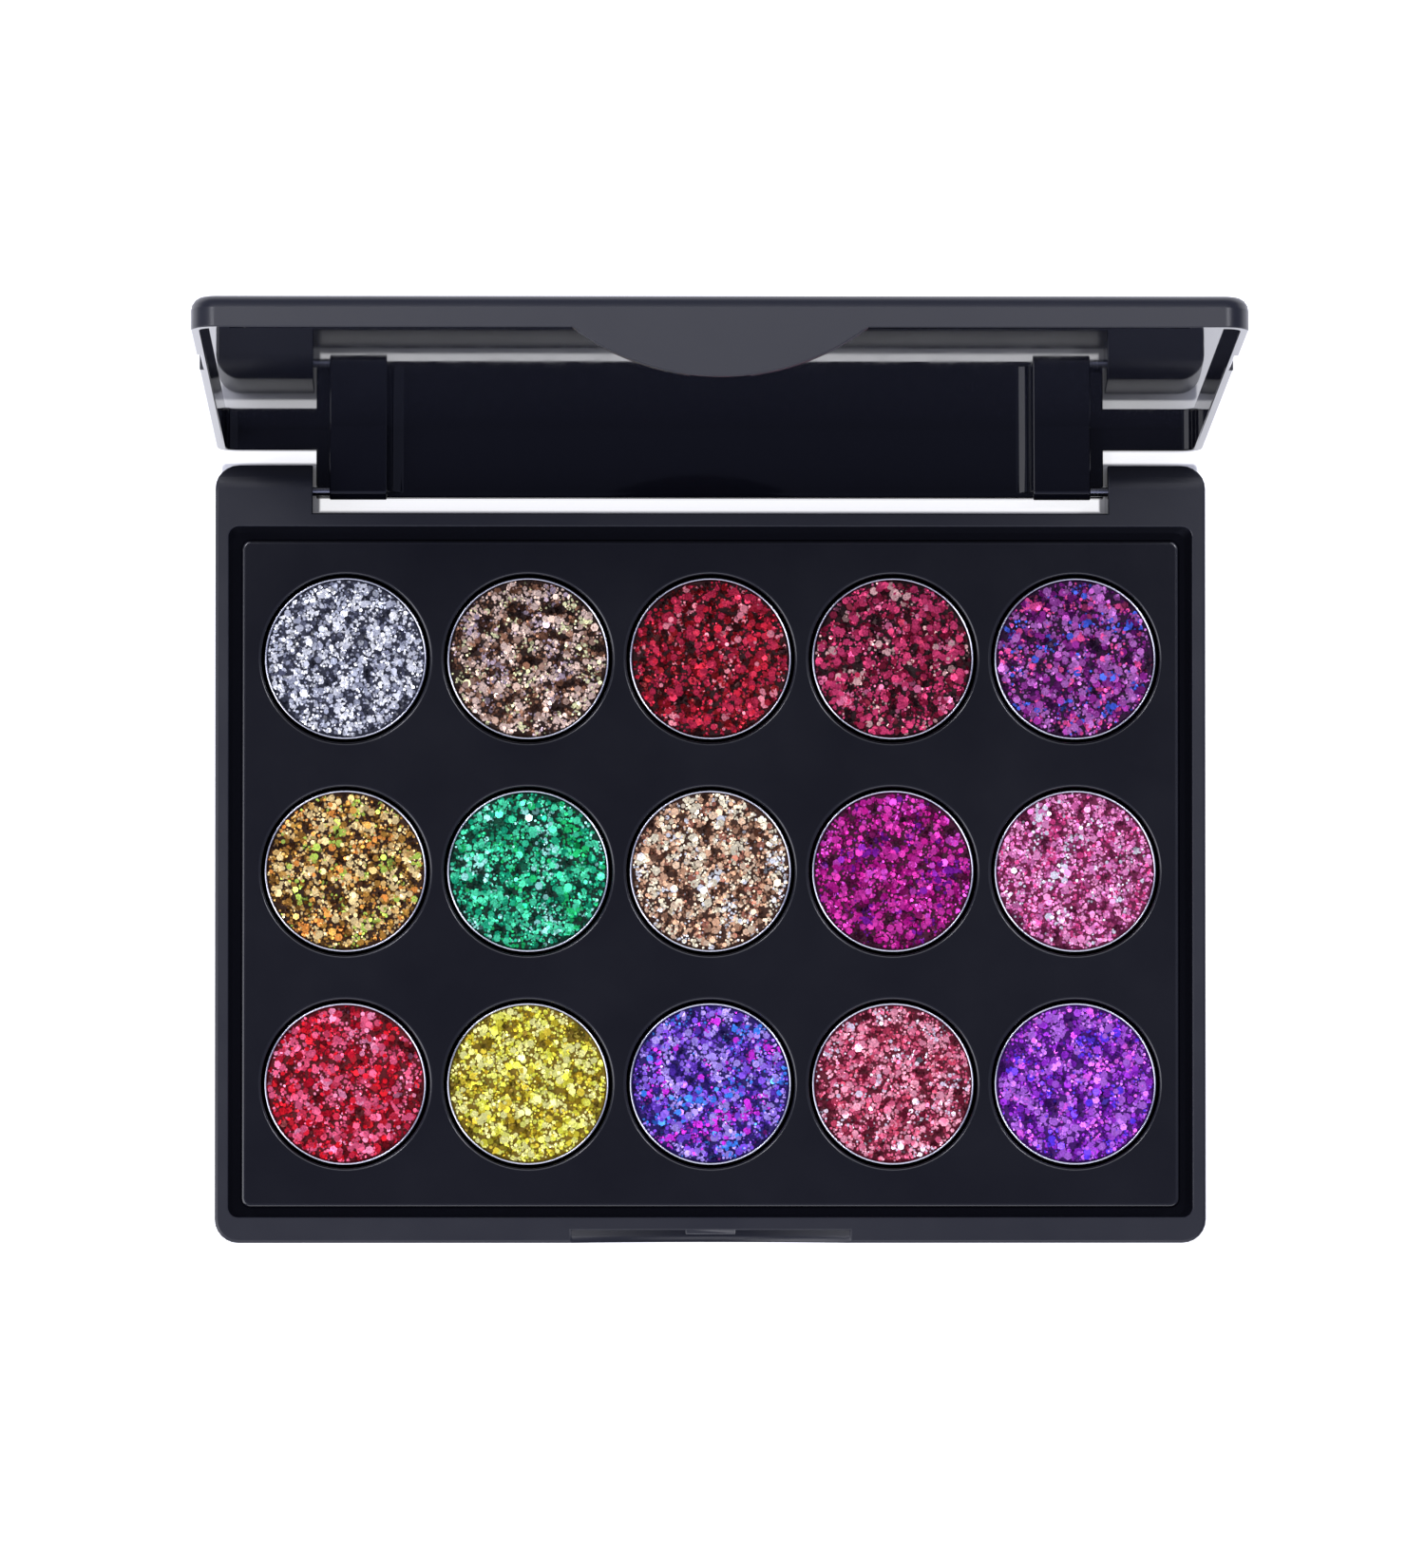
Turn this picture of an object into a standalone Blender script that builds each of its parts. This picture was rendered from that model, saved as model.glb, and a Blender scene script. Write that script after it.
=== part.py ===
"""Pressed-glitter eyeshadow palette: a flat hinged case with fifteen round pans in a drop-in tray.

The case lies on its base with its lid standing open. X runs along the hinge, +Y points to the hinge
and +Z points up. The origin is the centre of the base's bottom face. The lid is drawn shut, around
its hinge axis, and its object is then turned open about that axis.
"""
from math import acos, atan2, cos, pi, radians, sin, sqrt

import bmesh
import bpy

MM = 0.001

# Case, all in millimetres
CASE_WIDTH = 159.0          # along the hinge
CASE_DEPTH = 124.8          # from the front face to the hinge side
BASE_HEIGHT = 11.6
LID_HEIGHT = 5.0
SEAM_GAP = 0.3              # between the closed lid's rim and the base's rim
CORNER_RADIUS = 3.8
BASE_EDGE_RADIUS = 1.0      # round under the base
RIM_EDGE_RADIUS = 0.3       # broken edge round the base's rim

# Base walls
FLOOR = 1.4
SIDE_RIM = 2.2
FRONT_RIM = 4.2
HINGE_BAND = 9.9            # from the base's opening to the hinge side
HINGE_STRIP = 2.15          # thin wall left in front of the hinge notch
OPENING_RADIUS = 1.6

# Lid walls
LID_PANEL = 1.6
LID_SIDE_WALL = 1.4
LID_END_WALL = 1.8
LID_EDGE_RADIUS = 2.0
LID_BACK_INSET = 0.4        # the lid's hinge side stands this far inside the base's
SIDE_RELIEF_LENGTH = 14.0   # shallow relief in each side wall of the lid
SIDE_RELIEF_START = 27.0    # from the lid's front face
SIDE_RELIEF_DEPTH = 0.6
SIDE_RELIEF_HEIGHT = 2.4

# Hinge
HINGE_INSET = 3.9           # axis to the base's hinge side
HINGE_HEIGHT = 4.9          # axis above the table
OPEN_ANGLE = 95.5           # degrees from shut to open
NOTCH_WIDTH = 127.7
TONGUE_SIDE_GAP = 0.35
TONGUE_THICKNESS = 1.8
TONGUE_BELOW_AXIS = 0.75
KNUCKLE_RADIUS = 1.4
KNUCKLE_WIDTH = 9.2
KNUCKLE_FILLET = 2.8        # where a knuckle rises from the tongue
PIN_SHOWN = 2.55            # bare pin between a knuckle and the side of the notch
PIN_DIAMETER = 1.6
PIN_GAP = 0.18              # around the pin in its bores
PIN_RECESS = 1.0            # pin head to the side of the case
PIN_IN_KNUCKLE = 7.0
PIN_END_GAP = 0.4

# Finger flap on the lid and its recess in the base
FLAP_WIDTH = 44.4
FLAP_DROP = 7.5
FLAP_THICKNESS = 1.7
FLAP_GAP = 0.4
CATCH_WIDTH = 8.0
CATCH_HEIGHT = 1.2
CATCH_REACH = 0.75
CATCH_BELOW_RIM = 0.8
CATCH_GAP = 0.5

# Shades as they stand in the tray, hinge side first (name, red, green, blue)
SHADE_ROWS = (
    (
        ("silver", 0.55, 0.57, 0.64), ("bronze", 0.42, 0.31, 0.25), ("deep_red", 0.42, 0.02, 0.05),
        ("berry", 0.40, 0.05, 0.13), ("plum", 0.36, 0.08, 0.42),
    ),
    (
        ("gold", 0.55, 0.40, 0.14), ("emerald", 0.04, 0.45, 0.28), ("champagne", 0.60, 0.45, 0.35),
        ("magenta", 0.45, 0.02, 0.34), ("rose", 0.65, 0.22, 0.44),
    ),
    (
        ("crimson", 0.58, 0.03, 0.11), ("lemon", 0.72, 0.60, 0.15), ("iris", 0.28, 0.15, 0.70),
        ("coral", 0.60, 0.20, 0.30), ("violet", 0.38, 0.09, 0.68),
    ),
)
ROWS = len(SHADE_ROWS)
COLUMNS = len(SHADE_ROWS[0])

# Tray and its grid of pans
TRAY_DROP = 1.2             # tray's top below the base's rim
TRAY_GAP_SIDE = 1.9
TRAY_GAP_FRONT = 1.4
TRAY_GAP_BACK = 2.0
TRAY_PLATE = 1.2
TRAY_SKIRT = 1.2
TRAY_RADIUS = 1.6
TRAY_EDGE_RADIUS = 0.6
TRAY_EDGE_TO_PAN_X = 16.8   # tray's side to the outer pans' centres
TRAY_EDGE_TO_PAN_Y = 19.5
PAN_GRID_SHIFT = 0.4        # towards the hinge
PAN_LAND = 1.9              # plastic left between two neighbouring wells
WELL_DEPTH = 5.4
WELL_WALL = 1.2
WELL_EDGE = 0.35            # broken edge round each well
POST_RADIUS = 2.5
REST_GAP = 0.3              # between pieces that rest on or are stuck to each other

# Pans, pressed glitter and glue
PAN_GAP = 0.7               # pan to the well's wall
PAN_HEIGHT = 4.1
PAN_WALL = 0.45
PAN_FOOT = 0.35
CAKE_BELOW_RIM = 0.5
GLUE_HEIGHT = 0.3
GLUE_RADIUS = 4.5
TRAY_GLUE_RADIUS = 3.2

# Fineness of round shapes
ROUND_STEPS = 32
SMALL_ROUND_STEPS = 16
CORNER_STEPS = 6
FILLET_STEPS = 4
OVERCUT = 1.0               # how far a cutter runs past the face that it opens

# Worked out from the sizes above
HALF_WIDTH = CASE_WIDTH / 2
HALF_DEPTH = CASE_DEPTH / 2
OPENING_WIDTH = CASE_WIDTH - 2 * SIDE_RIM
OPENING_FRONT = -HALF_DEPTH + FRONT_RIM
OPENING_BACK = HALF_DEPTH - HINGE_BAND
NOTCH_FRONT = OPENING_BACK + HINGE_STRIP
HINGE_Y = HALF_DEPTH - HINGE_INSET
LID_RIM = BASE_HEIGHT + SEAM_GAP
LID_TOP = LID_RIM + LID_HEIGHT
LID_BACK = HALF_DEPTH - LID_BACK_INSET
TONGUE_HALF = NOTCH_WIDTH / 2 - TONGUE_SIDE_GAP
KNUCKLE_OUTER = NOTCH_WIDTH / 2 - PIN_SHOWN
KNUCKLE_INNER = KNUCKLE_OUTER - KNUCKLE_WIDTH
PIN_RADIUS = PIN_DIAMETER / 2
BORE_RADIUS = PIN_RADIUS + PIN_GAP
SWING_RADIUS = BASE_HEIGHT - HINGE_HEIGHT
FLAP_RADIUS = ((FLAP_WIDTH / 2) ** 2 + FLAP_DROP ** 2) / (2 * FLAP_DROP)
RECESS_DEPTH = FLAP_THICKNESS + FLAP_GAP
TRAY_TOP = BASE_HEIGHT - TRAY_DROP
TRAY_FOOT = FLOOR + REST_GAP
TRAY_WIDTH = OPENING_WIDTH - 2 * TRAY_GAP_SIDE
TRAY_FRONT = OPENING_FRONT + TRAY_GAP_FRONT
TRAY_BACK = OPENING_BACK - TRAY_GAP_BACK
TRAY_DEPTH = TRAY_BACK - TRAY_FRONT
TRAY_MIDDLE = (TRAY_BACK + TRAY_FRONT) / 2
PITCH_X = (TRAY_WIDTH - 2 * TRAY_EDGE_TO_PAN_X) / (COLUMNS - 1)
PITCH_Y = (TRAY_DEPTH - 2 * TRAY_EDGE_TO_PAN_Y) / (ROWS - 1)
WELL_RADIUS = (min(PITCH_X, PITCH_Y) - PAN_LAND) / 2
WELL_FLOOR = TRAY_TOP - WELL_DEPTH
WELL_FOOT = WELL_FLOOR - WELL_WALL
PAN_RADIUS = WELL_RADIUS - PAN_GAP
PAN_BOTTOM = WELL_FLOOR + 2 * REST_GAP + GLUE_HEIGHT
PAN_TOP = PAN_BOTTOM + PAN_HEIGHT
CAKE_BOTTOM = PAN_BOTTOM + PAN_WALL + REST_GAP
CAKE_TOP = PAN_TOP - CAKE_BELOW_RIM
CAKE_RADIUS = PAN_RADIUS - PAN_WALL - REST_GAP
TRAY_GLUE_TOP = FLOOR + REST_GAP + GLUE_HEIGHT
POST_FOOT = TRAY_GLUE_TOP + REST_GAP


def clear_scene():
    """Remove the objects that a new file starts with."""
    for thing in list(bpy.data.objects):
        bpy.data.objects.remove(thing, do_unlink=True)


def material(name, colour, roughness, metallic=0.0):
    """One Principled material."""
    made = bpy.data.materials.new(name)
    made.use_nodes = True
    shader = made.node_tree.nodes["Principled BSDF"]
    shader.inputs["Base Color"].default_value = (*colour, 1.0)
    shader.inputs["Roughness"].default_value = roughness
    shader.inputs["Metallic"].default_value = metallic
    made.diffuse_color = (*colour, 1.0)
    return made


def add_object(name, bm, finish=None, pivot=None):
    """Turn a mesh built in millimetres into an object in metres, hung on its pivot if it has one."""
    bmesh.ops.recalc_face_normals(bm, faces=bm.faces)
    bmesh.ops.scale(bm, vec=(MM, MM, MM), verts=bm.verts)
    if pivot:
        bmesh.ops.translate(bm, vec=-pivot.location, verts=bm.verts)
    mesh = bpy.data.meshes.new(name)
    bm.to_mesh(mesh)
    bm.free()
    mesh.shade_smooth()
    mesh.set_sharp_from_angle(angle=radians(35))
    made = bpy.data.objects.new(name, mesh)
    made.parent = pivot
    bpy.context.scene.collection.objects.link(made)
    if finish:
        mesh.materials.append(finish)
    return made


def cutter(name, bm, pivot=None):
    """An object that only cuts or joins others: hidden, and drawn as wire."""
    made = add_object(name, bm, pivot=pivot)
    made.hide_render = True
    made.display_type = "WIRE"
    return made


def boolean(target, other, operation="DIFFERENCE"):
    """Cut target with other, or join other to it."""
    step = target.modifiers.new(other.name, "BOOLEAN")
    step.operation = operation
    step.solver = "EXACT"
    step.object = other


def loft(loops):
    """A closed solid through loops of equal length, with a flat cap on the first and the last."""
    bm = bmesh.new()
    rings = [[bm.verts.new(point) for point in loop] for loop in loops]
    count = len(rings[0])
    for lower, upper in zip(rings, rings[1:]):
        for i in range(count):
            j = (i + 1) % count
            bm.faces.new((lower[i], lower[j], upper[j], upper[i]))
    bm.faces.new(reversed(rings[0]))
    bm.faces.new(rings[-1])
    return bm


def circle(x, y, z, radius, steps):
    """Points round a vertical axis."""
    turns = [2 * pi * i / steps for i in range(steps)]
    return [(x + radius * cos(a), y + radius * sin(a), z) for a in turns]


def rounded_rectangle(width, back, front, radius, z, inset=0.0):
    """Points round a rectangle with round corners, shrunk by inset on every side."""
    half = width / 2 - inset
    round_off = max(radius - inset, 0.1)
    centres = (
        (half - round_off, back - inset - round_off, 0),
        (-half + round_off, back - inset - round_off, 1),
        (-half + round_off, front + inset + round_off, 2),
        (half - round_off, front + inset + round_off, 3),
    )
    points = []
    for x, y, quarter in centres:
        for i in range(CORNER_STEPS + 1):
            a = (quarter + i / CORNER_STEPS) * pi / 2
            points.append((x + round_off * cos(a), y + round_off * sin(a), z))
    return points


def fillet_steps(radius, steps=FILLET_STEPS):
    """(rise, inset) pairs of a quarter round, from the flat end to the wall."""
    angles = [i * pi / 2 / steps for i in range(steps + 1)]
    return [(radius * (1 - cos(a)), radius * (1 - sin(a))) for a in angles]


def block(x0, x1, y0, y1, z0, z1):
    """A plain box between two corners."""
    loops = []
    for z in (z0, z1):
        loops.append([(x0, y0, z), (x1, y0, z), (x1, y1, z), (x0, y1, z)])
    return loft(loops)


def bar_along_x(outline, x0, x1):
    """A straight bar with a (y, z) outline."""
    return loft([[(x, y, z) for y, z in outline] for x in (x0, x1)])


def bar_along_y(outline, y0, y1):
    """A straight bar with an (x, z) outline."""
    return loft([[(x, y, z) for x, z in outline] for y in (y0, y1)])


def pin_bar(x0, x1, radius):
    """A round bar on the hinge axis."""
    turns = [2 * pi * i / SMALL_ROUND_STEPS for i in range(SMALL_ROUND_STEPS)]
    outline = [(HINGE_Y + radius * cos(a), HINGE_HEIGHT + radius * sin(a)) for a in turns]
    return bar_along_x(outline, x0, x1)


def crescent(extra, top):
    """(x, z) outline of the finger flap, grown by extra, with its straight side at height top."""
    radius = FLAP_RADIUS + extra
    centre_z = LID_RIM - FLAP_DROP + FLAP_RADIUS
    reach = sqrt(radius ** 2 - (centre_z - LID_RIM) ** 2)
    half_angle = atan2(reach, centre_z - LID_RIM)
    angles = [half_angle * (2 * i / ROUND_STEPS - 1) for i in range(ROUND_STEPS + 1)]
    arc = [(radius * sin(a), centre_z - radius * cos(a)) for a in angles]
    return arc + [(reach, top), (-reach, top)]


def join_meshes(parts):
    """One mesh that holds several closed meshes side by side."""
    whole = bmesh.new()
    for part in parts:
        piece = bpy.data.meshes.new("piece")
        part.to_mesh(piece)
        part.free()
        whole.from_mesh(piece)
        bpy.data.meshes.remove(piece)
    return whole


def hinge_pivot():
    """The hinge axis, turned to where the lid stands open."""
    pivot = bpy.data.objects.new("hinge_axis", None)
    pivot.location = (0.0, HINGE_Y * MM, HINGE_HEIGHT * MM)
    pivot.rotation_euler = (-radians(OPEN_ANGLE), 0.0, 0.0)
    bpy.context.scene.collection.objects.link(pivot)
    return pivot


def base_shell(finish):
    """Lower half of the case: floor, walls, hinge notch, finger recess and catch."""
    outline = (CASE_WIDTH, HALF_DEPTH, -HALF_DEPTH, CORNER_RADIUS)
    loops = [rounded_rectangle(*outline, rise, inset) for rise, inset in fillet_steps(BASE_EDGE_RADIUS)]
    loops.append(rounded_rectangle(*outline, BASE_HEIGHT - RIM_EDGE_RADIUS))
    loops.append(rounded_rectangle(*outline, BASE_HEIGHT, RIM_EDGE_RADIUS))
    base = add_object("base_shell", loft(loops), finish)

    opening = (OPENING_WIDTH, OPENING_BACK, OPENING_FRONT, OPENING_RADIUS)
    above = BASE_HEIGHT + OVERCUT
    hollow = loft([rounded_rectangle(*opening, z) for z in (FLOOR, above)])
    boolean(base, cutter("opening_cut", hollow))

    half = NOTCH_WIDTH / 2
    notch = block(-half, half, NOTCH_FRONT, HALF_DEPTH + OVERCUT, -OVERCUT, above)
    boolean(base, cutter("hinge_notch_cut", notch))

    swing = bar_along_x(swing_outline(above), -HALF_WIDTH - OVERCUT, HALF_WIDTH + OVERCUT)
    boolean(base, cutter("swing_round_cut", swing))

    for side in (-1, 1):
        ends = sorted((side * (half - OVERCUT), side * (HALF_WIDTH + OVERCUT)))
        boolean(base, cutter(f"base_bore_cut_{side}", pin_bar(*ends, BORE_RADIUS)))

    wall = -HALF_DEPTH + RECESS_DEPTH
    recess = bar_along_y(crescent(FLAP_GAP, above), -HALF_DEPTH - OVERCUT, wall)
    boolean(base, cutter("finger_recess_cut", recess))
    boolean(base, cutter("catch_join", catch_ridge(wall)), "UNION")
    return base


def swing_outline(above):
    """(y, z) outline of what is cut from the base's rear rim, so that the lid's rim swings past it.

    Its curve is an arc about the hinge axis, which leaves the rim level right above that axis.
    """
    last = acos(HINGE_INSET / SWING_RADIUS)
    angles = [pi / 2 + i / FILLET_STEPS * (last - pi / 2) for i in range(FILLET_STEPS + 1)]
    arc = [(HINGE_Y + SWING_RADIUS * cos(a), HINGE_HEIGHT + SWING_RADIUS * sin(a)) for a in angles]
    outside = HALF_DEPTH + OVERCUT
    return arc + [(outside, arc[-1][1]), (outside, above), (HINGE_Y, above)]


def catch_ridge(wall):
    """The ridge that the flap clicks over: a roof shape along X on the recess's wall."""
    top = BASE_HEIGHT - CATCH_BELOW_RIM
    tip = wall - CATCH_REACH
    root = wall + CATCH_REACH / 2
    outline = ((root, top), (wall, top), (tip, top - CATCH_HEIGHT / 2))
    outline += ((wall, top - CATCH_HEIGHT), (root, top - CATCH_HEIGHT))
    return bar_along_x(outline, -CATCH_WIDTH / 2, CATCH_WIDTH / 2)


def lid_shell(finish, pivot):
    """Upper half of the case: panel, walls, hinge tongue with its knuckles, and finger flap."""
    outline = (CASE_WIDTH, LID_BACK, -HALF_DEPTH, CORNER_RADIUS)
    loops = [rounded_rectangle(*outline, LID_RIM)]
    for rise, inset in reversed(fillet_steps(LID_EDGE_RADIUS)):
        loops.append(rounded_rectangle(*outline, LID_TOP - rise, inset))
    lid = add_object("lid_shell", loft(loops), finish, pivot)

    inner = (CASE_WIDTH - 2 * LID_SIDE_WALL, LID_BACK - LID_END_WALL, -HALF_DEPTH + LID_END_WALL)
    panel = LID_TOP - LID_PANEL
    heights = (LID_RIM - OVERCUT, panel)
    radius = CORNER_RADIUS - LID_END_WALL
    hollow = loft([rounded_rectangle(*inner, radius, z) for z in heights])
    boolean(lid, cutter("lid_hollow_cut", hollow, pivot))

    relief_start = -HALF_DEPTH + SIDE_RELIEF_START
    for side in (-1, 1):
        ends = sorted((side * (HALF_WIDTH - SIDE_RELIEF_DEPTH), side * (HALF_WIDTH + OVERCUT)))
        along = (relief_start, relief_start + SIDE_RELIEF_LENGTH)
        relief = block(*ends, *along, LID_RIM - OVERCUT, LID_RIM + SIDE_RELIEF_HEIGHT)
        boolean(lid, cutter(f"side_relief_cut_{side}", relief, pivot))

    root = panel + LID_PANEL / 2
    foot = HINGE_HEIGHT - TONGUE_BELOW_AXIS
    tongue = block(-TONGUE_HALF, TONGUE_HALF, LID_BACK - TONGUE_THICKNESS, LID_BACK, foot, root)
    boolean(lid, cutter("tongue_join", tongue, pivot), "UNION")
    for side in (-1, 1):
        ends = sorted((side * KNUCKLE_INNER, side * KNUCKLE_OUTER))
        knuckle = bar_along_x(knuckle_outline(root), *ends)
        boolean(lid, cutter(f"knuckle_join_{side}", knuckle, pivot), "UNION")
        fillet = knuckle_fillet(side, root)
        boolean(lid, cutter(f"knuckle_fillet_join_{side}", fillet, pivot), "UNION")
        bore_end = KNUCKLE_OUTER - PIN_IN_KNUCKLE - PIN_END_GAP
        ends = sorted((side * bore_end, side * (KNUCKLE_OUTER + OVERCUT)))
        boolean(lid, cutter(f"lid_bore_cut_{side}", pin_bar(*ends, BORE_RADIUS), pivot))

    back_of_flap = -HALF_DEPTH + FLAP_THICKNESS
    flap = bar_along_y(crescent(0.0, LID_RIM + LID_PANEL / 2), -HALF_DEPTH, back_of_flap)
    boolean(lid, cutter("flap_join", flap, pivot), "UNION")

    half = CATCH_WIDTH / 2 + CATCH_GAP
    groove_floor = -HALF_DEPTH + RECESS_DEPTH - CATCH_REACH - CATCH_GAP
    groove_top = BASE_HEIGHT - CATCH_BELOW_RIM + CATCH_GAP
    below = LID_RIM - FLAP_DROP - OVERCUT
    groove = block(-half, half, groove_floor, back_of_flap + OVERCUT, below, groove_top)
    boolean(lid, cutter("catch_groove_cut", groove, pivot))
    return lid


def knuckle_outline(root):
    """(y, z) outline of a knuckle: round under the hinge axis, flat up to the lid's panel."""
    face = HINGE_Y - KNUCKLE_RADIUS
    inside_tongue = LID_BACK - TONGUE_THICKNESS / 2
    outline = [(inside_tongue, root), (face, root)]
    for i in range(CORNER_STEPS + 1):
        a = pi + i / CORNER_STEPS * pi / 2
        outline.append((HINGE_Y + KNUCKLE_RADIUS * cos(a), HINGE_HEIGHT + KNUCKLE_RADIUS * sin(a)))
    outline.append((inside_tongue, HINGE_HEIGHT - TONGUE_BELOW_AXIS))
    return outline


def knuckle_fillet(side, root):
    """Hollow quarter round between a knuckle's inner side and the tongue's face."""
    tongue_face = LID_BACK - TONGUE_THICKNESS
    rise = tongue_face - (HINGE_Y - KNUCKLE_RADIUS)
    buried = TONGUE_THICKNESS / 2
    corner = KNUCKLE_INNER - KNUCKLE_FILLET
    outline = [(KNUCKLE_INNER + buried, tongue_face + buried), (corner, tongue_face + buried)]
    for i in range(FILLET_STEPS + 1):
        a = i / FILLET_STEPS * pi / 2
        x = corner + KNUCKLE_FILLET * sin(a)
        outline.append((x, tongue_face - rise * (1 - cos(a))))
    outline.append((KNUCKLE_INNER + buried, tongue_face - rise))
    loops = [[(side * x, y, z) for x, y in outline] for z in (HINGE_HEIGHT, root)]
    return loft(loops)


def hinge_pin(name, side, finish):
    """Steel pin pushed in from the case's side, through the base's block into the knuckle."""
    ends = sorted((side * (KNUCKLE_OUTER - PIN_IN_KNUCKLE), side * (HALF_WIDTH - PIN_RECESS)))
    return add_object(name, pin_bar(*ends, PIN_RADIUS), finish)


def well_centres():
    """(x, y) of each well, in rows from the hinge side, each from left to right."""
    centres = []
    for row in range(ROWS):
        y = TRAY_MIDDLE + PAN_GRID_SHIFT + ((ROWS - 1) / 2 - row) * PITCH_Y
        for column in range(COLUMNS):
            centres.append(((column - (COLUMNS - 1) / 2) * PITCH_X, y))
    return centres


def post_centres():
    """(x, y) of the four posts under the tray, each midway between four outer wells."""
    middle = TRAY_MIDDLE + PAN_GRID_SHIFT
    reach_x = (COLUMNS - 2) / 2 * PITCH_X
    reach_y = (ROWS - 2) / 2 * PITCH_Y
    return [(sx * reach_x, middle + sy * reach_y) for sy in (1, -1) for sx in (-1, 1)]


def turned(x, y, profile, steps=ROUND_STEPS):
    """A closed round piece through (radius, z) pairs, from one flat end to the other."""
    return loft([circle(x, y, z, radius, steps) for radius, z in profile])


def pan_tray(finish):
    """Moulded insert: a plate with a skirt, round wells and glue posts."""
    outline = (TRAY_WIDTH, TRAY_BACK, TRAY_FRONT, TRAY_RADIUS)
    loops = [rounded_rectangle(*outline, TRAY_FOOT)]
    for rise, inset in reversed(fillet_steps(TRAY_EDGE_RADIUS)):
        loops.append(rounded_rectangle(*outline, TRAY_TOP - rise, inset))
    tray = add_object("pan_tray", loft(loops), finish)

    heights = (TRAY_FOOT - OVERCUT, TRAY_TOP - TRAY_PLATE)
    under = loft([rounded_rectangle(*outline, z, TRAY_SKIRT) for z in heights])
    under_cut = cutter("tray_under_cut", under)
    kept = []
    for x, y in well_centres():
        radius = WELL_RADIUS + WELL_WALL
        kept.append(turned(x, y, ((radius, WELL_FOOT), (radius, TRAY_TOP))))
    for x, y in post_centres():
        kept.append(turned(x, y, ((POST_RADIUS, POST_FOOT), (POST_RADIUS, TRAY_TOP)), SMALL_ROUND_STEPS))
    boolean(under_cut, cutter("wells_and_posts", join_meshes(kept)))
    under_cut.modifiers["wells_and_posts"].use_self = True
    boolean(tray, under_cut)

    edge = WELL_RADIUS + WELL_EDGE
    profile = ((WELL_RADIUS, WELL_FLOOR), (WELL_RADIUS, TRAY_TOP - WELL_EDGE))
    profile += ((edge, TRAY_TOP), (edge, TRAY_TOP + OVERCUT))
    wells = join_meshes([turned(x, y, profile) for x, y in well_centres()])
    boolean(tray, cutter("wells_cut", wells))
    return tray


def pan(name, x, y, finish):
    """Round tinplate pan, open at the top."""
    inner = PAN_RADIUS - PAN_WALL
    profile = ((PAN_RADIUS - PAN_FOOT, PAN_BOTTOM), (PAN_RADIUS, PAN_BOTTOM + PAN_FOOT))
    profile += ((PAN_RADIUS, PAN_TOP), (inner, PAN_TOP), (inner, PAN_BOTTOM + PAN_WALL))
    return add_object(name, turned(x, y, profile), finish)


def cake(name, x, y, finish):
    """The pressed glitter in a pan."""
    profile = ((CAKE_RADIUS, CAKE_BOTTOM), (CAKE_RADIUS, CAKE_TOP))
    return add_object(name, turned(x, y, profile), finish)


def glue_dab(name, x, y, radius, foot, finish):
    """A flat round dab of hot-melt glue."""
    profile = ((radius, foot), (radius, foot + GLUE_HEIGHT))
    return add_object(name, turned(x, y, profile, SMALL_ROUND_STEPS), finish)


def main():
    clear_scene()
    plastic = material("black moulded plastic", (0.012, 0.012, 0.018), 0.35)
    steel = material("steel pin", (0.6, 0.6, 0.62), 0.25, 1.0)
    tinplate = material("tinplate pan", (0.75, 0.75, 0.78), 0.3, 1.0)
    glue = material("hot-melt glue", (0.75, 0.72, 0.62), 0.5)

    base_shell(plastic)
    lid_shell(plastic, hinge_pivot())
    hinge_pin("hinge_pin_left", -1, steel)
    hinge_pin("hinge_pin_right", 1, steel)
    pan_tray(plastic)

    shades = [shade for row in SHADE_ROWS for shade in row]
    for (shade, *colour), (x, y) in zip(shades, well_centres()):
        pressed = material(f"{shade} glitter", colour, 0.3, 0.6)
        pan(f"pan_{shade}", x, y, tinplate)
        cake(f"glitter_{shade}", x, y, pressed)
        glue_dab(f"pan_glue_{shade}", x, y, GLUE_RADIUS, WELL_FLOOR + REST_GAP, glue)
    for number, (x, y) in enumerate(post_centres(), start=1):
        glue_dab(f"tray_glue_{number}", x, y, TRAY_GLUE_RADIUS, FLOOR + REST_GAP, glue)


main()
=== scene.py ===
"""Looks of a pressed-glitter eyeshadow palette: black moulded case, tinplate pans and foil glitter.

The bodies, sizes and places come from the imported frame. What is made here is a surface worked out
as whole arrays: rings swept round an outline, profiles turned about an axis, and flakes strewn over
a bumpy disc.
"""
from math import pi, radians, sin

import bmesh
import bpy
import numpy as np
from bpy.props import CollectionProperty, FloatProperty, FloatVectorProperty, IntProperty
from bpy.props import PointerProperty
from mathutils import Matrix, Vector
from mathutils.geometry import delaunay_2d_cdt


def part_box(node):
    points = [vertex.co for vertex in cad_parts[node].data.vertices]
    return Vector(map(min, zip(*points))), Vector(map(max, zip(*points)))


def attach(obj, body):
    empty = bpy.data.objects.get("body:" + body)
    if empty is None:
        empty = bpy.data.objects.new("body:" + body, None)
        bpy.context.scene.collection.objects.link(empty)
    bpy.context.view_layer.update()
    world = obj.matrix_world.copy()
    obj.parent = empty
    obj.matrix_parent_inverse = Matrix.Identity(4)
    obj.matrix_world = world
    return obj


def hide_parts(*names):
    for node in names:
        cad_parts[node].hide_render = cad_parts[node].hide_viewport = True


bl_info = {
    "name": "Glitter Palette",
    "version": (1, 0, 0),
    "blender": (4, 5, 0),
    "location": "View3D > Sidebar > Palette",
    "description": "Dresses a hinged eyeshadow palette in moulded plastic, tinplate and glitter",
    "category": "Object",
}

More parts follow.
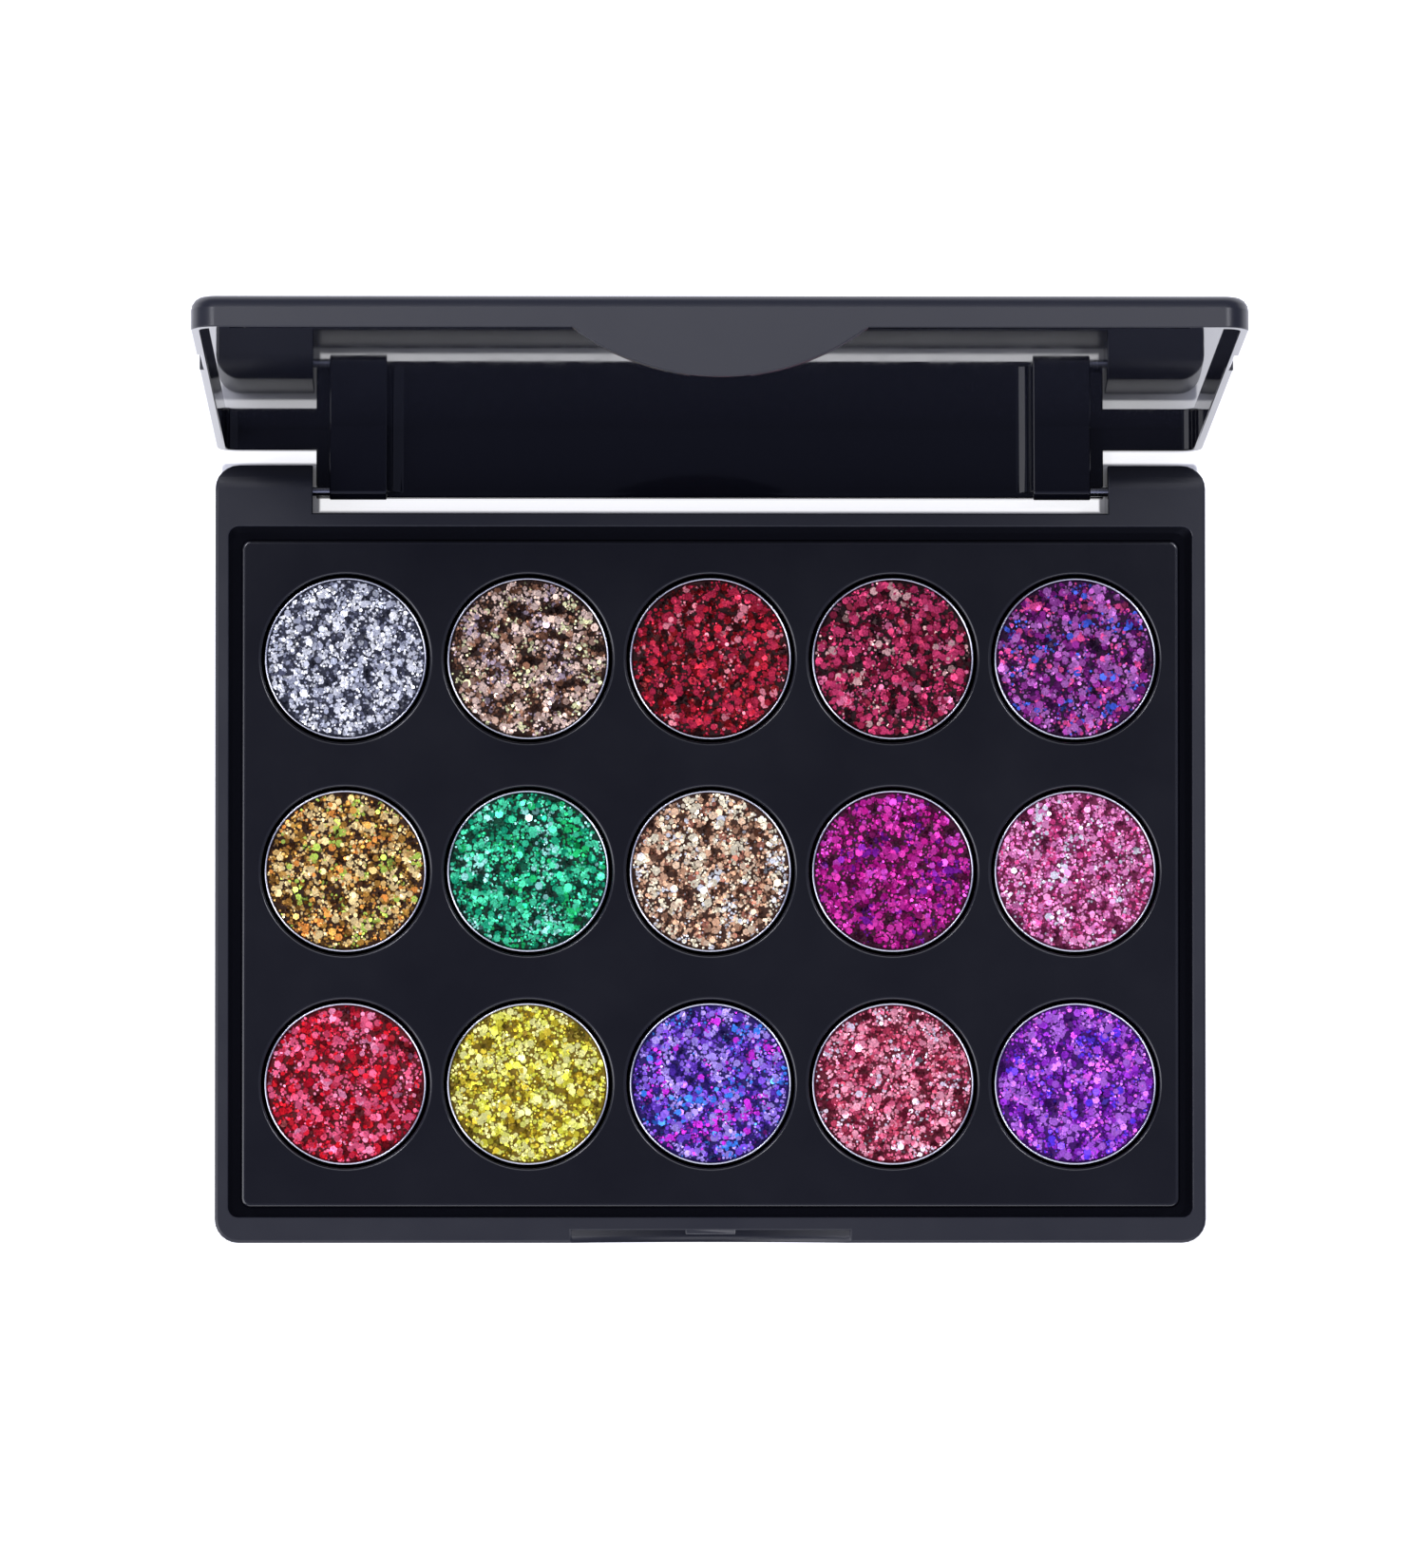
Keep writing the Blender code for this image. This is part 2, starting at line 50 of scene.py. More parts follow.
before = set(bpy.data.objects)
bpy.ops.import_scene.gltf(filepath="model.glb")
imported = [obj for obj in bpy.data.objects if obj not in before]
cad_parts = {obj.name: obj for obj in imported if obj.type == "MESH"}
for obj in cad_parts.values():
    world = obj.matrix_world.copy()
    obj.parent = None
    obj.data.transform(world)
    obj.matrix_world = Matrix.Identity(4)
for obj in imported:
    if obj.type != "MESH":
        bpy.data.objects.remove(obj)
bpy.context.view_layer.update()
SEED = 20
SHARP = radians(30)         # a corner past this angle is an edge and not part of a curve
FLAT = radians(1)           # faces that meet at less than this are one flat face
MERGE = 2e-6                # corners of a moulded shell closer than this are one point
PIN_STEPS = 40              # facets round a hinge pin
FILL_GAP = 0.00004          # how far the glitter stands clear of its pan's wall

# Hills of the gel bed, patches of odd colour and patches of light, each a number of sine waves and
# their shortest and longest length.
CLUMP_WAVES = (16, 0.0013, 0.0044)
HUE_WAVES = (6, 0.004, 0.012)
LIGHT_WAVES = (7, 0.003, 0.009)

EYE = (-0.022, -0.029, 1.7046)      # the camera's place
AIM = (0.0003, 0.0112, 0.0116)      # the spot that it points at
FLOOR_REACH = 6.0                   # half the side of the floor
SQUARE = ((-1, -1), (1, -1), (1, 1), (-1, 1))

# Lamps, all pointed at the origin: name, place, width and height, and power.
LAMPS = (
    ("left_softbox", (-0.95, -0.35, 0.95), (0.8, 1.2), 9.0),
    ("front_softbox", (0.1, -0.95, 1.0), (1.2, 0.7), 4.0),
    ("back_softbox", (0.0, 0.75, 1.4), (1.4, 0.6), 4.5),
    ("right_sparkle", (0.5, 0.35, 1.3), (0.2, 0.2), 2.5),
    ("left_sparkle", (-0.45, 0.45, 1.3), (0.2, 0.2), 2.5),
)

# Shades in the order of the pans, hinge side first: name, share of large flakes, and the colours of
# the painted shade between the flakes, of most flakes, of the bright ones (partly lighter flakes,
# partly painted highlight) and of two kinds of odd flake.
SHADES = (
    ("silver", 0.25, "#55576a", "#b4b7c4", "#fcfcfb", "#fcfcfc", "#e3e7f1"),
    ("bronze", 0.35, "#492819", "#95674c", "#f9d8c2", "#fbf8ba", "#bfa8b2"),
    ("deep_red", 0.9, "#470303", "#8c0310", "#c42847", "#fa2c46", "#fa909b"),
    ("berry", 1.0, "#3d0310", "#870a2f", "#d83d6c", "#e8b1ab", "#ee779b"),
    ("plum", 0.9, "#4a0550", "#95228d", "#c270c2", "#4764dc", "#fc539d"),
    ("gold", 0.5, "#583008", "#c9923b", "#fbdc96", "#c4df59", "#fca046"),
    ("emerald", 0.5, "#034e36", "#13b780", "#51e8ab", "#a9fce6", "#1ac66b"),
    ("champagne", 0.4, "#6a3f28", "#f8c298", "#fceec9", "#fcfcfc", "#ad6d56"),
    ("magenta", 0.8, "#6e0345", "#bc0585", "#d736a3", "#fc56dd", "#7d0f95"),
    ("rose", 0.25, "#b1316a", "#fc87cb", "#fc99c9", "#fcf4fc", "#e24485"),
    ("crimson", 0.9, "#910316", "#cb0626", "#f36082", "#fc90ae", "#fc1729"),
    ("lemon", 0.6, "#c4a015", "#fcfb4b", "#fcf694", "#fcfc6d", "#fcdf41"),
    ("iris", 0.6, "#3d2095", "#8f53ec", "#b499f0", "#e436e7", "#478ffc"),
    ("coral", 0.3, "#991b3a", "#fc6e90", "#fca3b3", "#fce6f2", "#c73f59"),
    ("violet", 0.7, "#6e12a4", "#ab32da", "#c271e6", "#fc6af7", "#6e3efc"),
)


def to_linear(hex_colour):
    """Linear red, green, blue and alpha of an sRGB hex colour."""
    channels = np.array([int(hex_colour[i:i + 2], 16) for i in (1, 3, 5)]) / 255
    linear = np.where(channels <= 0.04045, channels / 12.92, ((channels + 0.055) / 1.055) ** 2.4)
    return (*(float(value) for value in linear), 1.0)


def colour_property(name, description, hex_colour):
    """A colour that a user can pick."""
    return FloatVectorProperty(
        name=name, description=description, default=to_linear(hex_colour), subtype="COLOR",
        size=4, min=0.0, max=1.0,
    )


def length_property(name, description, metres):
    """A length that a user can set."""
    return FloatProperty(
        name=name, description=description, default=metres, min=0.0, unit="LENGTH", precision=5,
    )


def count_property(name, description, count):
    """A number of like things that a user can set."""
    return IntProperty(name=name, description=description, default=count, min=0)


class PaletteCaseSettings(bpy.types.PropertyGroup):
    pigment: colour_property("Pigment", "Black of the case's plastic", "#15161e")
    edge_round: length_property("Edge round", "Width broken off every moulded edge", 0.00018)
    grain: length_property("Grain", "Size of the spark-eroded grain outside", 0.00030)
    front_rim: length_property(
        "Front rim", "Part of the base's front that is satin throughout", 0.0041,
    )


class PaletteTraySettings(bpy.types.PropertyGroup):
    pigment: colour_property("Pigment", "Black of the insert's plastic", "#0a0a10")
    wall: length_property("Wall", "Thickness of the insert", 0.0009)
    edge_round: length_property("Edge round", "Radius round the insert's top edge", 0.0006)
    corner: length_property("Corner", "Radius of the insert's corners", 0.0016)
    pan_gap: length_property("Pan gap", "Gap between a pan and its well", 0.0005)
    mouth_round: length_property("Mouth round", "Radius round each well's mouth", 0.0004)
    foot_round: length_property("Foot round", "Radius round each well's floor", 0.0006)
    rest_gap: length_property("Rest gap", "Gap under what is glued down", 0.0003)


class PalettePanSettings(bpy.types.PropertyGroup):
    metal: colour_property("Metal", "Tin on the pans", "#d6d7de")
    wall: length_property("Wall", "Thickness of the sheet", 0.00036)
    foot_round: length_property("Foot round", "Radius round the pan's foot", 0.0007)


class PaletteGlitterSettings(bpy.types.PropertyGroup):
    fine: count_property("Fine flakes", "Fine flakes in a pan", 3200)
    medium: count_property("Medium flakes", "Medium flakes in a pan", 650)
    chunky: count_property("Large flakes", "Most large flakes in a pan", 240)
    fine_width: length_property("Fine width", "Width of a fine flake", 0.00040)
    medium_width: length_property("Medium width", "Width of a medium flake", 0.00070)
    chunky_width: length_property("Chunky width", "Width of a large flake", 0.00125)
    thickness: length_property("Thickness", "Foil, drawn thicker than it is", 0.00004)
    clump: length_property("Clump", "Height of the clumps in the bed", 0.00030)
    tilt: FloatProperty(
        name="Tilt", description="Spread of the flakes' lean", default=radians(17), subtype="ANGLE",
    )


class PaletteShade(bpy.types.PropertyGroup):
    large: FloatProperty(
        name="Large", description="Share of large flakes", default=0.5, min=0.0, max=1.0,
    )
    # shadow is painted shade for the gel and the flakes low between the others; bright is partly
    # lighter flakes and partly painted highlight on the flakes high on the hills.
    shadow: colour_property("Shadow", "Gel and flakes deep between the others", "#404040")
    body: colour_property("Body", "Most flakes", "#808080")
    bright: colour_property("Bright", "Bright flakes", "#c0c0c0")
    odd_a: colour_property("First odd", "A few odd flakes", "#ffffff")
    odd_b: colour_property("Second odd", "A few other odd flakes", "#a0a0a0")


class PaletteStageSettings(bpy.types.PropertyGroup):
    floor: colour_property("Floor", "White acrylic under the palette", "#f6f6f8")
    tint: colour_property("Lamps", "Colour of the lamps", "#f8f8ff")
    tent: colour_property("Tent", "Colour of the white tent", "#ccd3fb")
    dusk: colour_property("Opening", "Colour of the tent's opening", "#b4b8e6")
    room: FloatProperty(
        name="Tent light", description="Light of the white tent", default=0.5, min=0.0,
    )
    lean: FloatProperty(
        name="Lean", description="Sine of the opening's lean to the hinge side", default=0.035,
    )
    across: FloatProperty(
        name="Opening across", description="Half width of the opening along the hinge",
        default=radians(6.5), subtype="ANGLE",
    )
    along: FloatProperty(
        name="Opening along", description="Half length of the opening from hinge to front",
        default=radians(5.5), subtype="ANGLE",
    )
    hole: FloatProperty(
        name="Opening light", description="Light of the opening", default=0.15, min=0.0,
    )
    backlight: FloatProperty(
        name="Backlight", description="Glow of the floor", default=0.9, min=0.0,
    )
    # notch_depth, notch_width and inset place the rectangles of painted shadow on the floor under
    # the case.
    notch_depth: length_property(
        "Notch depth", "Depth of the hinge notch, where the floor shows", 0.00775,
    )
    notch_width: length_property("Notch width", "Width of the hinge notch", 0.1277)
    inset: length_property(
        "Inset", "How far in from its outer walls the case's foot starts", 0.0015,
    )
    lens: FloatProperty(name="Lens", description="Focal length", default=242.4, unit="CAMERA")


# Meshes


def new_piece(name, points, faces, finishes, finish_of_face=None):
    """A piece at the origin from an array of points and lists of corner numbers."""
    mesh = bpy.data.meshes.new(name)
    mesh.from_pydata(np.asarray(points).reshape(-1, 3).tolist(), [], faces)
    mesh.update()
    for finish in finishes:
        mesh.materials.append(finish)
    if finish_of_face is not None:
        mesh.polygons.foreach_set("material_index", np.asarray(finish_of_face, dtype=np.int32))
    mesh.shade_smooth()
    piece = bpy.data.objects.new(name, mesh)
    bpy.context.scene.collection.objects.link(piece)
    return piece


def ring_quads(first, rings, count):
    """Corner numbers of the quads between neighbouring rings of count points each."""
    ring, step = np.meshgrid(np.arange(rings - 1), np.arange(count), indexing="ij")
    here = first + ring * count
    after = (step + 1) % count
    quads = np.stack((here + step, here + after, here + after + count, here + step + count), -1)
    return quads.reshape(-1, 4).tolist()


def turned_rings(profile, centre, steps):
    """Rings of a profile of (radius, height) pairs turned about a vertical axis.

    x = cx + r(v) cos u, y = cy + r(v) sin u, z = h(v), with u once round and v along the profile.
    """
    profile = np.asarray(profile)
    around = np.linspace(0, 2 * pi, steps, endpoint=False)
    x = centre[0] + np.outer(profile[:, 0], np.cos(around))
    y = centre[1] + np.outer(profile[:, 0], np.sin(around))
    z = np.repeat(profile[:, 1:2], steps, axis=1)
    return np.stack((x, y, z), -1)


def quarter(centre, radius, start, end, steps):
    """Points c + R (cos a, sin a) of an arc, with a from start to end counted in right angles."""
    angles = np.linspace(start, end, steps + 1) * pi / 2
    return [(centre[0] + radius * np.cos(a), centre[1] + radius * np.sin(a)) for a in angles]


def rounded_outline(low, high, radius, corner_steps):
    """Once round a rectangle with round corners, from its +X side on.

    Each corner is c + R (cos a, sin a) over a quarter turn, and straight runs join the corners.
    """
    sign = np.array([(1, 1), (-1, 1), (-1, -1), (1, -1)])
    corner = np.where(sign > 0, high, low) - sign * radius
    a = (np.arange(4)[:, None] + np.linspace(0, 1, corner_steps + 1)) * pi / 2
    return (corner[:, None, :] + radius * np.stack((np.cos(a), np.sin(a)), -1)).reshape(-1, 2)


def turned_solid(name, profile, centre, steps, finishes):
    """A closed round piece whose profile starts and ends with a flat cap."""
    rings = turned_rings(profile, centre, steps)
    count = len(rings)
    faces = ring_quads(0, count, steps)
    faces.append(list(range(steps))[::-1])
    faces.append(list(range((count - 1) * steps, count * steps)))
    return new_piece(name, rings, faces, finishes)


def keep_flats_flat(piece, edge_round=0.0):
    """Break the sharp edges, then let each vertex lean on its largest faces so flats shade flat."""
    if edge_round:
        bevel = piece.modifiers.new("broken edges", "BEVEL")
        bevel.width = edge_round
        bevel.segments = 2
        bevel.limit_method = "WEIGHT"
        bevel.use_clamp_overlap = False
        bevel.miter_outer = "MITER_ARC"
    weighted = piece.modifiers.new("flat shading", "WEIGHTED_NORMAL")
    weighted.mode = "FACE_AREA"
    weighted.weight = 100
    weighted.keep_sharp = True


def place(piece, body, slot, *nodes):
    """Hang a piece on its body in place of its CAD nodes; slot is not used."""
    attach(piece, body)
    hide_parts(*nodes)


def pan_middle(shade):
    """Centre in plan, outer radius, foot and rim of a shade's pan."""
    low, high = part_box(f"pan_{shade}")
    return ((low.x + high.x) / 2, (low.y + high.y) / 2), (high.x - low.x) / 2, low.z, high.z


# Materials


def new_material(name):
    """An empty node material: its tree, its shader and its object coordinates."""
    made = bpy.data.materials.new(name)
    made.use_nodes = True
    tree = made.node_tree
    shader = tree.nodes["Principled BSDF"]
    where = tree.nodes.new("ShaderNodeTexCoord").outputs["Object"]
    return made, tree, shader, where


def add_node(tree, kind, sockets, **settings):
    """A node with its settings, whose sockets take a value or a link from another node's output."""
    made = tree.nodes.new(kind)
    for key, value in settings.items():
        setattr(made, key, value)
    for key, value in sockets.items():
        if isinstance(value, bpy.types.NodeSocket):
            tree.links.new(value, made.inputs[key])
        else:
            made.inputs[key].default_value = value
    return made


def set_shader(tree, shader, **sockets):
    """Values and links on the shader, each under its name with underscores for spaces."""
    for key, value in sockets.items():
        socket = shader.inputs[key.replace("_", " ")]
        if isinstance(value, bpy.types.NodeSocket):
            tree.links.new(value, socket)
        else:
            socket.default_value = value


def spread(tree, source, low, high):
    """A noise of 0.3 to 0.7 stretched to low to high."""
    ranged = add_node(tree, "ShaderNodeMapRange", {
        "Value": source, "From Min": 0.3, "From Max": 0.7, "To Min": low, "To Max": high,
    })
    return ranged.outputs["Result"]


def satin_abs(pigment, grain):
    """Spark-eroded ABS: a fine even grain spreads the light to a soft dark sheen."""
    made, tree, shader, where = new_material("satin_black_abs")
    texture = add_node(tree, "ShaderNodeTexNoise", {
        "Vector": where, "Scale": 1 / grain, "Detail": 2.0, "Roughness": 0.55,
    })
    bump = add_node(tree, "ShaderNodeBump", {
        "Height": texture.outputs["Fac"], "Strength": 0.35, "Distance": 0.00002,
    })
    patches = add_node(tree, "ShaderNodeTexNoise", {"Vector": where, "Scale": 90.0, "Detail": 3.0})
    set_shader(
        tree, shader, Base_Color=pigment, Normal=bump.outputs["Normal"], IOR=1.54,
        Roughness=spread(tree, patches.outputs["Fac"], 0.32, 0.36),
    )
    return made


def polished_abs(pigment):
    """Polished ABS: a clear gloss, with faint wipe marks and slow waves from uneven shrinking."""
    made, tree, shader, where = new_material("polished_black_abs")
    streaks = add_node(tree, "ShaderNodeMapping", {"Vector": where, "Scale": (1.0, 0.35, 0.35)})
    wipes = add_node(tree, "ShaderNodeTexNoise", {
        "Vector": streaks.outputs["Vector"], "Scale": 260.0, "Detail": 4.0, "Roughness": 0.6,
    })
    waves = add_node(tree, "ShaderNodeTexNoise", {"Vector": where, "Scale": 120.0, "Detail": 1.0})
    bump = add_node(tree, "ShaderNodeBump", {
        "Height": waves.outputs["Fac"], "Strength": 0.05, "Distance": 0.00004,
    })
    set_shader(
        tree, shader, Base_Color=pigment, Normal=bump.outputs["Normal"], IOR=1.54,
        Roughness=spread(tree, wipes.outputs["Fac"], 0.015, 0.045),
    )
    return made


def gloss_polystyrene(pigment):
    """Moulded polystyrene: a duller gloss, with the tool's fine orange peel and a little dust."""
    made, tree, shader, where = new_material("moulded_black_polystyrene")
    peel = add_node(tree, "ShaderNodeTexNoise", {"Vector": where, "Scale": 700.0, "Detail": 2.0})
    bump = add_node(tree, "ShaderNodeBump", {
        "Height": peel.outputs["Fac"], "Strength": 0.15, "Distance": 0.00002,
    })
    haze = add_node(tree, "ShaderNodeTexNoise", {"Vector": where, "Scale": 70.0, "Detail": 4.0})
    set_shader(
        tree, shader, Base_Color=pigment, Roughness=spread(tree, haze.outputs["Fac"], 0.17, 0.20),
        Normal=bump.outputs["Normal"], IOR=1.59,
    )
    return made


def bright_tinplate(metal):
    """Drawn tinplate: bright tin over steel, with rolling lines about 0.2 mm apart."""
    made, tree, shader, where = new_material("bright_tinplate")
    rolled = add_node(tree, "ShaderNodeMapping", {"Vector": where, "Scale": (0.05, 1.0, 1.0)})
    lines = add_node(tree, "ShaderNodeTexNoise", {
        "Vector": rolled.outputs["Vector"], "Scale": 5000.0, "Detail": 2.0,
    })
    bump = add_node(tree, "ShaderNodeBump", {
        "Height": lines.outputs["Fac"], "Strength": 0.10, "Distance": 0.00002,
    })
    set_shader(
        tree, shader, Base_Color=metal, Metallic=1.0,
        Roughness=spread(tree, lines.outputs["Fac"], 0.16, 0.26), Normal=bump.outputs["Normal"],
    )
    return made


def ground_steel():
    """Centreless-ground steel wire: bright, with fine rings round it 0.1 mm apart."""
    made, tree, shader, where = new_material("ground_steel")
    rings = add_node(tree, "ShaderNodeMapping", {"Vector": where, "Scale": (1.0, 0.02, 0.02)})
    lines = add_node(tree, "ShaderNodeTexNoise", {
        "Vector": rings.outputs["Vector"], "Scale": 10000.0, "Detail": 1.0,
    })
    set_shader(
        tree, shader, Base_Color=to_linear("#c9c9cd"), Metallic=1.0,
        Roughness=spread(tree, lines.outputs["Fac"], 0.14, 0.28),
    )
    return made


def hot_melt_glue():
    """Hot-melt glue: a milky amber wax that lets some light through, with a soft wavy skin."""
    made, tree, shader, where = new_material("hot_melt_glue")
    skin = add_node(tree, "ShaderNodeTexNoise", {"Vector": where, "Scale": 900.0, "Detail": 2.0})
    bump = add_node(tree, "ShaderNodeBump", {
        "Height": skin.outputs["Fac"], "Strength": 0.3, "Distance": 0.00005,
    })
    set_shader(
        tree, shader, Base_Color=to_linear("#d8c89c"), Subsurface_Weight=0.3,
        Roughness=spread(tree, skin.outputs["Fac"], 0.32, 0.5), Normal=bump.outputs["Normal"],
    )
    shader.inputs["Subsurface Scale"].default_value = 0.0005
    return made


def glitter_foil():
    """Lacquered foil flakes: each mirrors one patch of the room in its tint, with painted light and
    shade.
    """
    made, tree, shader, where = new_material("lacquered_foil_glitter")
    tint = add_node(tree, "ShaderNodeAttribute", {}, attribute_name="tint")
    grime = add_node(tree, "ShaderNodeTexNoise", {"Vector": where, "Scale": 2500.0, "Detail": 1.0})
    set_shader(
        tree, shader, Base_Color=tint.outputs["Color"], Metallic=0.6,
        Roughness=spread(tree, grime.outputs["Fac"], 0.20, 0.36), Specular_IOR_Level=0.3,
    )
    return made


def binder_gel():
    """Clear binder, wet-looking, tinted a darkened shadow colour: painted shade in the bed between
    flakes.
    """
    made, tree, shader, where = new_material("binder_gel")
    tint = add_node(tree, "ShaderNodeAttribute", {}, attribute_name="tint")
    beads = add_node(tree, "ShaderNodeTexNoise", {"Vector": where, "Scale": 4000.0, "Detail": 2.0})
    bump = add_node(tree, "ShaderNodeBump", {
        "Height": beads.outputs["Fac"], "Strength": 0.8, "Distance": 0.0001,
    })
    set_shader(
        tree, shader, Base_Color=tint.outputs["Color"], Roughness=0.45,
        Normal=bump.outputs["Normal"], Specular_IOR_Level=0.2,
    )
    return made


# Case


def moulded_copy(name, node, finishes, edge_round, rim):
    """A CAD shell with its triangles joined to whole faces, its edges broken, and two finishes.

    A face whose outward side looks to the middle of the shell is inside and takes the second one,
    but not where it is within rim of the front, as in the finger recess.
    """
    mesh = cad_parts[node].data.copy()
    mesh.name = name
    shell = bmesh.new()
    shell.from_mesh(mesh)
    bmesh.ops.remove_doubles(shell, verts=shell.verts, dist=MERGE)
    bmesh.ops.dissolve_limit(
        shell, angle_limit=FLAT, verts=shell.verts, edges=shell.edges, delimit={"NORMAL"},
    )
    weight = shell.edges.layers.float.new("bevel_weight_edge")
    for edge in shell.edges:
        edge[weight] = float(edge.is_convex and edge.calc_face_angle() > SHARP)
    shell.to_mesh(mesh)
    shell.free()
    mesh.materials.clear()
    for finish in finishes:
        mesh.materials.append(finish)
    centres = np.empty(len(mesh.polygons) * 3)
    mesh.polygons.foreach_get("center", centres)
    outward = np.empty(len(mesh.polygons) * 3)
    mesh.polygons.foreach_get("normal", outward)
    low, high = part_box(node)
    centres = centres.reshape(-1, 3)
    to_middle = np.array((low + high) / 2) - centres
    inside = (to_middle * outward.reshape(-1, 3)).sum(1) > 0
    inside &= centres[:, 1] > low.y + rim
    mesh.polygons.foreach_set("material_index", inside.astype(np.int32))
    mesh.shade_smooth()
    mesh.set_sharp_from_angle(angle=SHARP)
    piece = bpy.data.objects.new(name, mesh)
    bpy.context.scene.collection.objects.link(piece)
    keep_flats_flat(piece, edge_round)
    return piece


class PALETTE_OT_case(bpy.types.Operator):
    """Base and lid with satin outsides, polished insides and broken edges"""

    bl_idname = "palette.case"
    bl_label = "Case"

    def execute(self, context):
        settings = context.scene.palette_case
        finishes = (satin_abs(settings.pigment, settings.grain), polished_abs(settings.pigment))
        for name, node, body, rim in (
            ("case_base", "base_shell", "case", settings.front_rim),
            ("case_lid", "lid_shell", "lid", 0.0),
        ):
            shell = moulded_copy(name, node, finishes, settings.edge_round, rim)
            place(shell, body, "case_plastic", node)
        return {"FINISHED"}


class PALETTE_OT_pins(bpy.types.Operator):
    """Round steel hinge pins with rounded ends"""

    bl_idname = "palette.pins"
    bl_label = "Hinge pins"

    def execute(self, context):
        steel = ground_steel()
        for side in ("left", "right"):
            low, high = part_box(f"hinge_pin_{side}")
            radius = (high.z - low.z) / 2
            lead = radius * 0.35
            near = quarter((radius - lead, low.x + lead), lead, 3, 4, 4)
            far = quarter((radius - lead, high.x - lead), lead, 0, 1, 4)
            rings = turned_rings(near + far, (0.0, 0.0), PIN_STEPS)
            # The axis runs along X: height becomes x, and the rings stand in y and z
            middle = np.array(((low.y + high.y) / 2, (low.z + high.z) / 2))
            rings = np.concatenate((rings[..., 2:], rings[..., :2] + middle), -1)
            faces = ring_quads(0, len(rings), PIN_STEPS)
            faces.append(list(range(PIN_STEPS))[::-1])
            faces.append(list(range((len(rings) - 1) * PIN_STEPS, len(rings) * PIN_STEPS)))
            pin = new_piece(f"steel_pin_{side}", rings, faces, [steel])
            keep_flats_flat(pin)
            place(pin, "case", "steel_pin", f"hinge_pin_{side}")
        return {"FINISHED"}


# Tray


def well_profile(settings, radius, top, floor):
    """(radius, height) pairs from the tray's top, over a well's round mouth, to its floor."""
    mouth, foot = settings.mouth_round, settings.foot_round
    profile = [(radius + mouth * 1.5, top)]
    profile += quarter((radius + mouth, top - mouth), mouth, 1, 2, 4)
    profile += quarter((radius - foot, floor + foot), foot, 4, 3, 4)
    return profile + [(radius - foot * 2, floor), (radius * 0.5, floor)]


def tray_sheet(settings, steps=96, corner_steps=8):
    """Points and faces of the tray's outer skin: a skirt, a flat top and the wells sunk in it.

    The skirt is one outline carried down a round-edged profile, each well is a turned profile, and
    the flat between them is triangulated over the innermost outline and the wells' outermost rings.
    """
    low, high = (np.array(corner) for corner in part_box("pan_tray"))
    edge = settings.edge_round
    top, foot = high[2], low[2]
    skirt = [(edge * 1.4, top)] + quarter((edge, top - edge), edge, 1, 2, 5) + [(0.0, foot)]
    outlines = []
    for inset, height in skirt:
        corner = settings.corner - inset
        plan = rounded_outline(low[:2] + inset, high[:2] - inset, corner, corner_steps)
        outlines.append(np.column_stack((plan, np.full(len(plan), height))))
    around = len(outlines[0])
    wells = []
    for shade, *_ in SHADES:
        centre, radius, *_ = pan_middle(shade)
        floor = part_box(f"pan_glue_{shade}")[0].z - settings.rest_gap
        profile = well_profile(settings, radius + settings.pan_gap, top, floor)
        wells.append(turned_rings(profile, centre, steps))
    depth = len(wells[0])

    points = np.concatenate((np.reshape(outlines, (-1, 3)), np.reshape(wells, (-1, 3))))
    faces = [face[::-1] for face in ring_quads(0, len(outlines), around)]
    brim = list(range(around))
    for number in range(len(wells)):
        first = len(outlines) * around + number * depth * steps
        faces += ring_quads(first, depth, steps)
        faces.append(list(range(first + (depth - 1) * steps, first + depth * steps)))
        brim += range(first, first + steps)
    flat = points[brim]
    count = len(flat)
    *_, triangles, _, _, _ = delaunay_2d_cdt([Vector(point[:2]) for point in flat], [], [], 0, 1e-9)
    corners = np.array(triangles)
    owner = np.concatenate((np.zeros(around), 1 + np.arange(count - around) // steps))[corners]
    in_well = (owner[:, 0] > 0) & (owner[:, 0] == owner[:, 1]) & (owner[:, 0] == owner[:, 2])
    corners = np.array(brim)[corners[~in_well]]
    return points, faces + corners.tolist()


class PALETTE_OT_tray(bpy.types.Operator):
    """Moulded insert with a round well for each pan"""

    bl_idname = "palette.tray"
    bl_label = "Tray"

    def execute(self, context):
        settings = context.scene.palette_tray
        points, faces = tray_sheet(settings)
        tray = new_piece("tray_insert", points, faces, [gloss_polystyrene(settings.pigment)])
        wall = tray.modifiers.new("wall", "SOLIDIFY")
        wall.thickness = settings.wall
        wall.offset = -1.0
        wall.use_even_offset = True
        keep_flats_flat(tray)
        place(tray, "case", "tray_plastic", "pan_tray")
        return {"FINISHED"}


# Pans and glue


class PALETTE_OT_pans(bpy.types.Operator):
    """Drawn tinplate pans, one for each shade"""

    bl_idname = "palette.pans"
    bl_label = "Pans"

    def execute(self, context):
        settings = context.scene.palette_pan
        tin = bright_tinplate(settings.metal)
        wall, turn = settings.wall, settings.foot_round
        lip = wall / 2
        for shade, *_ in SHADES:
            centre, radius, foot, rim = pan_middle(shade)
            profile = [(radius * 0.4, foot)]
            profile += quarter((radius - turn, foot + turn), turn, 3, 4, 6)
            profile += quarter((radius - lip, rim - lip), lip, 0, 2, 8)
            profile += quarter((radius - turn, foot + turn), turn - wall, 4, 3, 6)
            profile += [(radius * 0.4, foot + wall)]
            pan = turned_solid(f"tin_pan_{shade}", profile, centre, 96, [tin])
            keep_flats_flat(pan)
            place(pan, "case", "pan_metal", f"pan_{shade}")
        return {"FINISHED"}


